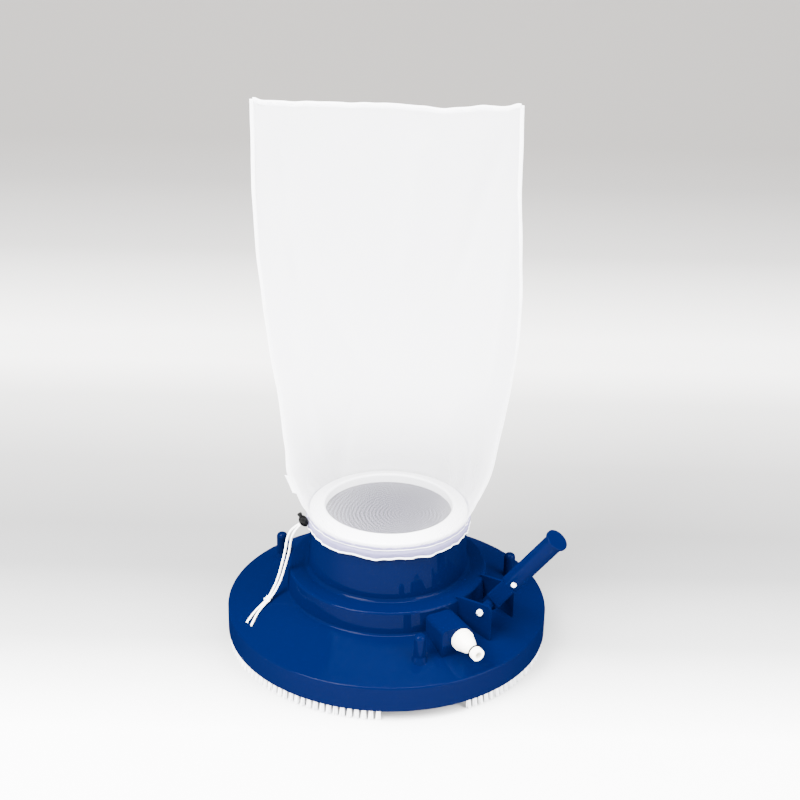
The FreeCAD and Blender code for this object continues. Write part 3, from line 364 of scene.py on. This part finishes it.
def bag_surface(columns, rows):
    """Points of the bag in its own frame, row by row from the collar to the top seam."""
    height = np.concatenate([np.linspace(163, 200, 40, endpoint=False), np.linspace(200, 640, rows - 40)])
    around = np.linspace(0, 2 * math.pi, columns, endpoint=False)
    lean, wide, deep = between(LEVELS, height)
    cos, sin = np.cos(around), np.sin(around)
    z = np.repeat(height[:, None], columns, 1)
    flat = soft((height - 175) / 120)[:, None]
    x = lean[:, None] + wide[:, None] * np.sign(cos) * np.abs(cos) ** (1 - 0.12 * flat)
    y = deep[:, None] * sin * np.abs(sin) ** (0.35 * flat)
    front = y < 0
    lift = np.zeros_like(x)
    for fold in FRONT_FOLDS:
        lift += np.where(front, crease(x, z, *fold), 0)
    for fold in BACK_FOLDS:
        lift += np.where(front, 0, crease(x, z, *fold))
    side = np.abs(sin)[None, :]
    free = soft((z - 172) / 60) * soft((640 - z) / 45)
    ripple = np.array(
        [
            [noise.noise(Vector((px * 0.018, (py > 0) * 9.0, pz * 0.006))) for px, py, pz in zip(*line)]
            for line in zip(x, y, z)
        ]
    )
    lift = (lift + 3.2 * ripple) * free * side**0.5
    y = y + np.sign(y) * lift
    waver = np.array([noise.noise(Vector((3.7, 1.1, h * 0.021))) for h in height])[:, None]
    x = x + 1.4 * waver * np.abs(cos)[None, :] ** 3 * soft((height - 190) / 60)[:, None]
    gather = np.exp(-(((height - 170) / 14) ** 2))[:, None]
    pleat = np.array([noise.noise(Vector((6 * math.cos(a), 6 * math.sin(a), 4.0))) for a in around])
    pleat += 0.5 * np.array([noise.noise(Vector((14 * math.cos(a), 14 * math.sin(a), 1.0))) for a in around])
    swell = 1 + 0.018 * (pleat + 0.45)[None, :] * gather
    x = x * swell
    y = y * swell
    top = soft((height - 628) / 12)[:, None]
    z = z + top * (1.6 * np.array([noise.noise(Vector((px * 0.05, 2.0, 0.0))) for px in x[-1]])[None, :])
    z = z - 3.6 * top * np.exp(-(((x - 48) / 30) ** 2))
    corner = np.exp(-(((np.abs(x - lean[:, None]) - 139) / 7) ** 2)) * top
    z = z + 2.6 * corner
    return x, y, z


def in_row(x, y, z):
    """Bag-frame millimetres as row-frame metres."""
    c, s = math.cos(TURN), math.sin(TURN)
    return np.stack([(x * c - y * s), (x * s + y * c), z], -1) * MM


def make_bag():
    columns, rows = BAG_COLUMNS, BAG_ROWS
    x, y, z = bag_surface(columns, rows)
    points = in_row(x, y, z).reshape(-1, 3)
    bag = piece("bag_cloth", points, grid_faces(rows, columns, True), MESH)
    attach(bag, "head")
    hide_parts("bag_front", "bag_back")
    extras = [bag_side_seam(x, y, z, column) for column in (0, columns // 2)]
    extras.append(bag_top_seam(x, y, z, columns))
    hem = bag_hem(columns)
    extras += [
        hem,
        hem_edge(hem, HEM_ROWS - 1, columns, "hem_edge_low", 1.1),
        hem_edge(hem, STITCH_ROW, columns, "hem_stitch", 0.45),
    ]
    for extra in extras:
        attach(extra, "head")


def ribbon(name, middle, across, up, half_wide, half_thick, look, closed=False):
    """A flat band along a line: a rounded oblong section at each point."""
    ring = 8
    points = []
    for m, a, u in zip(middle, across, up):
        for k in range(ring):
            t = 2 * math.pi * (k + 0.5) / ring
            points.append(m + a * (half_wide * math.cos(t)) + u * (half_thick * math.sin(t)))
    count = len(middle)
    faces = []
    for r in range(count if closed else count - 1):
        for k in range(ring):
            n = (r + 1) % count
            faces.append((r * ring + k, r * ring + (k + 1) % ring, n * ring + (k + 1) % ring, n * ring + k))
    if not closed:
        faces.append(tuple(range(ring))[::-1])
        faces.append(tuple((count - 1) * ring + k for k in range(ring)))
    return piece(name, points, faces, look)


def bag_side_seam(x, y, z, column):
    sign = 1 if column == 0 else -1
    keep = [i for i in range(len(x)) if z[i, 0] > 174]
    middle, across, up = [], [], []
    turn = np.array([math.cos(TURN), math.sin(TURN), 0]) * sign
    for i in keep:
        wave = 0.8 * noise.noise(Vector((5.0 * sign, 0.0, z[i, column] * 0.045)))
        spot = in_row(x[i, column] + sign * 0.9, y[i, column] + wave, z[i, column])
        middle.append(spot)
        across.append(turn)
        up.append(np.array([-math.sin(TURN), math.cos(TURN), 0]))
    name = "bag_seam_right" if sign > 0 else "bag_seam_left"
    return ribbon(name, middle, across, up, 2.4 * MM, 0.7 * MM, SEAM)


def bag_top_seam(x, y, z, columns):
    half = columns // 2
    last = len(x) - 1
    middle, across, up = [], [], []
    for k in range(half + 1):
        a, b = k, (columns - k) % columns
        wave = 1.1 * noise.noise(Vector((k * 0.11, 7.0, 0.0)))
        px = (x[last, a] + x[last, b]) / 2
        py = (y[last, a] + y[last, b]) / 2 + wave
        pz = (z[last, a] + z[last, b]) / 2 - 1.0
        middle.append(in_row(px, py, pz))
        across.append(np.array([0, 0, 1.0]))
        up.append(np.array([-math.sin(TURN), math.cos(TURN), 0]))
    return ribbon("bag_seam_top", middle, across, up, 3.0 * MM, 0.9 * MM, SEAM)


def bag_hem(columns):
    """The gathered hem below the collar's edge, with its small pleats."""
    rows = HEM_ROWS
    around = np.linspace(0, 2 * math.pi, 3 * columns, endpoint=False)
    points = []
    for r in range(rows):
        t = r / (rows - 1)
        for a in around:
            c, s = math.cos(a), math.sin(a)
            small = noise.noise(Vector((15 * c, 15 * s, 0.5 * t)))
            broad = noise.noise(Vector((5 * c, 5 * s, 3.0 + 0.6 * t)))
            tuck = noise.noise(Vector((9 * c, 9 * s, 4.0 * t)))
            stitch = math.exp(-(((t - 0.28) / 0.05) ** 2)) + math.exp(-(((t - 0.86) / 0.05) ** 2))
            channel = math.exp(-(((t - 0.57) / 0.16) ** 2))
            loose = 1 - 0.6 * channel
            radius = 95.3 + ((0.5 + 1.6 * t) * small + 1.1 * t * broad + 0.8 * tuck) * loose - 0.9 * stitch
            radius += 0.9 * channel
            edge = 2.4 * noise.noise(Vector((4 * c, 4 * s, 8.0)))
            height = 165.5 - (15.0 + edge) * t
            points.append((radius * c * MM, radius * s * MM, height * MM))
    return piece("bag_hem", points, grid_faces(rows, len(around), True), HEM)


def hem_edge(hem, row, columns, name, wide):
    """A stitched roll along one row of the hem's points."""
    count = 3 * columns
    ring = [np.array(hem.data.vertices[row * count + k].co) for k in range(0, count, 2)]
    outward = [np.array((p[0], p[1], 0.0)) / math.hypot(p[0], p[1]) for p in ring]
    upward = [np.array((0.0, 0.0, 1.0))] * len(ring)
    middle = [p + 0.0003 * out for p, out in zip(ring, outward)]
    return ribbon(name, middle, upward, outward, wide * MM, 0.55 * MM, SEAM, closed=True)


# ---------------------------------------------------------------- bristles
def make_bristles():
    """Tufts of nylon in each strip, standing on the floor and spreading a little."""
    arcs = {
        "front": (-45 + BRUSH_GAP, 45 - BRUSH_GAP),
        "left": (45 + BRUSH_GAP, 180 - BRUSH_GAP),
        "right": (180 + BRUSH_GAP, 315 - BRUSH_GAP),
    }
    for name, (first, last) in arcs.items():
        tufts = int((last - first) / TUFT_PITCH)
        points, faces = [], []
        for k in range(tufts):
            angle = math.radians(first + (k + 0.5) * (last - first) / tufts)
            out = Vector((math.cos(angle), math.sin(angle), 0))
            along = Vector((-out.y, out.x, 0))
            lean = rng.uniform(-0.4, 0.4)
            for _ in range(TUFT_FILAMENTS):
                r = math.sqrt(rng.random())
                t = rng.uniform(0, 2 * math.pi)
                a, b = r * math.cos(t), r * math.sin(t)
                root = out * (0.1842 + 0.0016 * b) + along * (0.0019 * a) + Vector((0, 0, 0.0165))
                spread = 1 + rng.uniform(0.2, 0.65)
                tip = (
                    out * (0.1859 + 0.0019 * b * spread)
                    + along * (0.0021 * a * spread + 0.0004 * lean)
                    + Vector((0, 0, rng.uniform(0.0, 0.0007)))
                )
                add_filament(points, faces, root, tip, 0.00023)
        brush = piece("tufts_" + name, points, faces, NYLON, smooth=False)
        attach(brush, "head")
        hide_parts("bristles_" + name)


def add_filament(points, faces, root, tip, radius):
    axis = (tip - root).normalized()
    side = axis.orthogonal().normalized()
    other = axis.cross(side)
    base = len(points)
    for end in (root, tip):
        for k in range(3):
            t = 2 * math.pi * k / 3
            points.append(end + (side * math.cos(t) + other * math.sin(t)) * radius)
    for k in range(3):
        n = (k + 1) % 3
        faces.append((base + k, base + n, base + 3 + n, base + 3 + k))
    faces.append((base + 3, base + 4, base + 5))


# ---------------------------------------------------------------- cords, knot and label
TAIL_ROUTES = {
    "left": (
        (-73.8, -76.0, 157.2),
        (-78.6, -78.4, 153.0),
        (-84.4, -80.4, 146.6),
        (-88.5, -81.4, 135.0),
        (-90.2, -82.6, 119.4),
        (-93.5, -85.8, 100.0),
        (-96.0, -89.8, 84.0),
        (-99.2, -96.5, 69.5),
        (-101.6, -105.0, 60.8),
        (-102.8, -114.0, 57.4),
        (-104.2, -122.5, 54.8),
        (-103.6, -133.0, 52.4),
        (-102.3, -143.9, 49.8),
    ),
    "right": (
        (-71.6, -78.0, 157.2),
        (-75.6, -80.0, 152.0),
        (-80.4, -81.0, 143.5),
        (-84.0, -80.6, 132.7),
        (-85.6, -80.8, 118.8),
        (-89.2, -83.8, 101.0),
        (-92.2, -87.6, 84.5),
        (-95.5, -94.8, 70.3),
        (-98.4, -103.9, 61.6),
        (-99.8, -113.4, 57.9),
        (-100.0, -122.8, 55.2),
        (-97.4, -134.6, 52.9),
        (-93.4, -147.2, 50.4),
    ),
}


def make_cords():
    knot = make_knot()
    for name, route in TAIL_ROUTES.items():
        points = [tuple(v * MM for v in point) for point in route]
        tail = cord_curve("tail_" + name, points, 1.25 * MM, CORD)
        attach(tail, "head")
        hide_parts("cord_tail_" + name)
        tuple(points[0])


def make_knot():
    """An overhand knot: a trefoil of cord round the two tails."""
    centre = Vector((-100.4, -104.6, 62.0)) * MM
    points = []
    for k in range(48):
        t = 2 * math.pi * k / 48
        local = Vector(
            (
                1.25 * (math.sin(t) + 2 * math.sin(2 * t)),
                1.05 * (math.cos(t) - 2 * math.cos(2 * t)),
                -1.35 * math.sin(3 * t),
            )
        )
        points.append(local * MM)
    turn = Vector((-0.1, -0.9, -0.35)).to_track_quat("Y", "Z").to_matrix()
    curve = bpy.data.curves.new("tail_knot", "CURVE")
    curve.dimensions = "3D"
    curve.bevel_depth = 1.2 * MM
    curve.bevel_resolution = 5
    line = curve.splines.new("NURBS")
    line.points.add(len(points) - 1)
    for spot, point in zip(line.points, points):
        spot.co = (*(centre + turn @ point), 1)
    line.use_cyclic_u = True
    line.order_u = 3
    curve.materials.append(CORD)
    knot = bpy.data.objects.new("tail_knot", curve)
    bpy.context.scene.collection.objects.link(knot)
    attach(knot, "head")
    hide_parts("cord_knot")
    return knot


def make_label():
    """A small blank tag, sewn into the side seam and curling a little."""
    lean = math.radians(28)
    rows, columns = 14, 8
    points = []
    for side in (0, 1):
        for r in range(rows):
            for c in range(columns):
                u, v = c / (columns - 1), r / (rows - 1)
                out = -u * 12.0
                up = v * 26.0
                curl = 1.6 * u * u * math.sin(2.2 * v + 0.4) + (0.25 if side else -0.25)
                bx = -101.8 + out * math.cos(lean) - up * math.sin(lean) * 0.75
                bz = 180.0 + up * math.cos(lean) - out * math.sin(lean) * 0.35
                points.append(in_row(bx, curl, bz))
    count = rows * columns
    faces = [face[::-1] for face in grid_faces(rows, columns, False)]
    faces += [tuple(i + count for i in face) for face in grid_faces(rows, columns, False)]
    rim = list(range(columns))
    rim += [r * columns + columns - 1 for r in range(1, rows)]
    rim += [(rows - 1) * columns + c for c in range(columns - 2, -1, -1)]
    rim += [r * columns for r in range(rows - 2, 0, -1)]
    for i, a in enumerate(rim):
        b = rim[(i + 1) % len(rim)]
        faces.append((a, b, b + count, a + count))
    label = piece("bag_label", points, faces, plastic("label_satin", (0.84, 0.84, 0.86), 0.5))
    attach(label, "head")
    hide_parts("blank_label")


# ---------------------------------------------------------------- stage, lights and camera
# distance behind the head in metres, painted shade and warmth along the backdrop: its lighter and darker
# bands stand for how the lamps light it, not the paper's own colour
BACKDROP_PAINTED_SHADE = (
    (-0.21, 0.9, 0.0),
    (-0.12, 0.62, 0.0),
    (-0.03, 0.37, 0.0),
    (0.14, 0.2, 0.0),
    (0.25, 0.18, 0.01),
    (0.45, 0.25, 0.02),
    (0.69, 0.42, 0.03),
    (0.82, 0.62, 0.03),
    (0.91, 0.6, 0.03),
    (1.13, 0.235, 0.04),
    (1.27, 0.14, 0.06),
    (1.34, 0.12, 0.08),
)


def make_stage():
    away = Vector((-math.sin(TURN), math.cos(TURN), 0))
    side = Vector((math.cos(TURN), math.sin(TURN), 0))
    profile = [(-3.0, 0.0), (0.7, 0.0)]
    bend = 0.9
    for k in range(1, 17):
        t = math.pi / 2 * k / 16
        profile.append((0.7 + bend * math.sin(t), bend * (1 - math.cos(t))))
    profile.append((0.7 + bend, 4.0))
    points = []
    for reach, height in profile:
        for across in (-4.0, 4.0):
            points.append(away * reach + side * across + Vector((0, 0, height)))
    faces = [(2 * k, 2 * k + 1, 2 * k + 3, 2 * k + 2) for k in range(len(profile) - 1)]
    made, tree, out = material("pale_backdrop")
    shader = node_in(tree, "ShaderNodeBsdfDiffuse")
    where = tree.nodes.new("ShaderNodeTexCoord")
    reach = node_in(tree, "ShaderNodeVectorMath", operation="DOT_PRODUCT")
    reach.inputs[1].default_value = away
    tree.links.new(where.outputs["Object"], reach.inputs[0])
    span = node_in(tree, "ShaderNodeMapRange")
    span.inputs["From Min"].default_value = BACKDROP_PAINTED_SHADE[0][0]
    span.inputs["From Max"].default_value = BACKDROP_PAINTED_SHADE[-1][0]
    tree.links.new(reach.outputs["Value"], span.inputs["Value"])
    # painted shade: the ramp lightens and darkens the backdrop with distance behind the head to stand for
    # how the lamps light it
    ramp = tree.nodes.new("ShaderNodeValToRGB")
    tree.links.new(span.outputs["Result"], ramp.inputs["Fac"])
    stops = ramp.color_ramp.elements
    while len(stops) < len(BACKDROP_PAINTED_SHADE):
        stops.new(0.5)
    length = BACKDROP_PAINTED_SHADE[-1][0] - BACKDROP_PAINTED_SHADE[0][0]
    for stop, (distance, shade, warmth) in zip(stops, BACKDROP_PAINTED_SHADE):
        stop.position = (distance - BACKDROP_PAINTED_SHADE[0][0]) / length
        stop.color = (shade, shade * (1 - 0.5 * warmth), shade * (1 - warmth), 1)
    tree.links.new(ramp.outputs["Color"], shader.inputs["Color"])
    behind = tree.nodes.new("ShaderNodeNewGeometry")
    clear = tree.nodes.new("ShaderNodeBsdfTransparent")
    one_sided = tree.nodes.new("ShaderNodeMixShader")
    tree.links.new(behind.outputs["Backfacing"], one_sided.inputs[0])
    tree.links.new(shader.outputs[0], one_sided.inputs[1])
    tree.links.new(clear.outputs[0], one_sided.inputs[2])
    tree.links.new(one_sided.outputs[0], out.inputs["Surface"])
    floor = piece("backdrop", points, faces, made)


def area_light(name, spot, target, size, power, colour=(1, 1, 1)):
    data = bpy.data.lights.new(name, "AREA")
    data.shape = "RECTANGLE"
    data.size, data.size_y = size
    data.energy = power
    data.color = colour
    lamp = bpy.data.objects.new(name, data)
    lamp.location = spot
    lamp.rotation_mode = "QUATERNION"
    lamp.rotation_quaternion = (Vector(target) - Vector(spot)).to_track_quat("-Z", "Y")
    bpy.context.scene.collection.objects.link(lamp)
    return lamp


def from_camera_side(x, y, z):
    """A spot given as across, away and up from the camera's side."""
    c, s = math.cos(TURN), math.sin(TURN)
    return (x * c - y * s, x * s + y * c, z)


def make_lights():
    world = bpy.data.worlds.new("studio")
    world.use_nodes = True
    world.node_tree.nodes["Background"].inputs["Color"].default_value = (1, 1, 1, 1)
    world.node_tree.nodes["Background"].inputs["Strength"].default_value = 4.0
    bpy.context.scene.world = world
    area_light("key", from_camera_side(-1.4, -1.2, 2.1), (0, 0, 0.2), (1.4, 1.4), 500)
    area_light("fill", from_camera_side(1.8, -0.9, 1.3), (0, 0, 0.25), (1.6, 1.6), 200)
    area_light("top", from_camera_side(0.0, -0.25, 2.7), (0, 0, 0.2), (2.0, 1.0), 240)


def make_camera():
    data = bpy.data.cameras.new("camera")
    data.lens = 68.1
    data.sensor_width = 36
    camera = bpy.data.objects.new("camera", data)
    pitch, roll = math.radians(23.68), math.radians(1.30)
    ahead = Vector((0, math.cos(pitch), -math.sin(pitch)))
    right = Vector((1, 0, 0))
    up = Vector((0, math.sin(pitch), math.cos(pitch)))
    rolled_right = right * math.cos(roll) + up * math.sin(roll)
    rolled_up = up * math.cos(roll) - right * math.sin(roll)
    look = Matrix((rolled_right, rolled_up, -ahead)).transposed()
    turn = Matrix.Rotation(TURN, 3, "Z")
    camera.matrix_world = (turn @ look).to_4x4()
    camera.location = turn @ Vector((0.0104, -1.572, 0.993))
    bpy.context.scene.collection.objects.link(camera)
    bpy.context.scene.camera = camera


# ---------------------------------------------------------------- assembly
make_bag()
make_bristles()
make_cords()
make_label()
make_stage()
make_lights()
make_camera()
